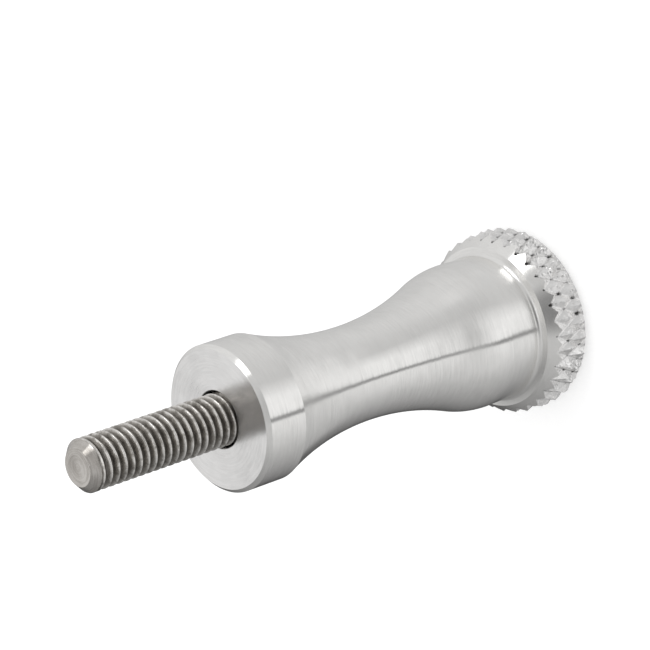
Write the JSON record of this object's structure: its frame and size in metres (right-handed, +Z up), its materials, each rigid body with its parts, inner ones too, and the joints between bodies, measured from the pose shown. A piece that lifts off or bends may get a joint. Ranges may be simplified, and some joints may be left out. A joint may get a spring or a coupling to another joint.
{
  "type": "quick release seat bolt",
  "caption": "Turned aluminium hand grip with a waisted body and a diamond-knurled head, fixed on a socket head cap screw whose thread stands out of the collar.",
  "frame": {"origin": "centre of the head face, which the bolt stands on", "axes": "+Z up the bolt's axis, from the knurled head to the tip of the thread; X and Y across it"},
  "size_m": [0.0216, 0.0216, 0.0662],
  "materials": {
    "turned_aluminium": "bright turned",
    "stainless_steel": "machined and rolled"
  },
  "bodies": {
    "root": {"grip": "turned_aluminium", "cap_screw": "stainless_steel"}
  },
  "joints": []
}
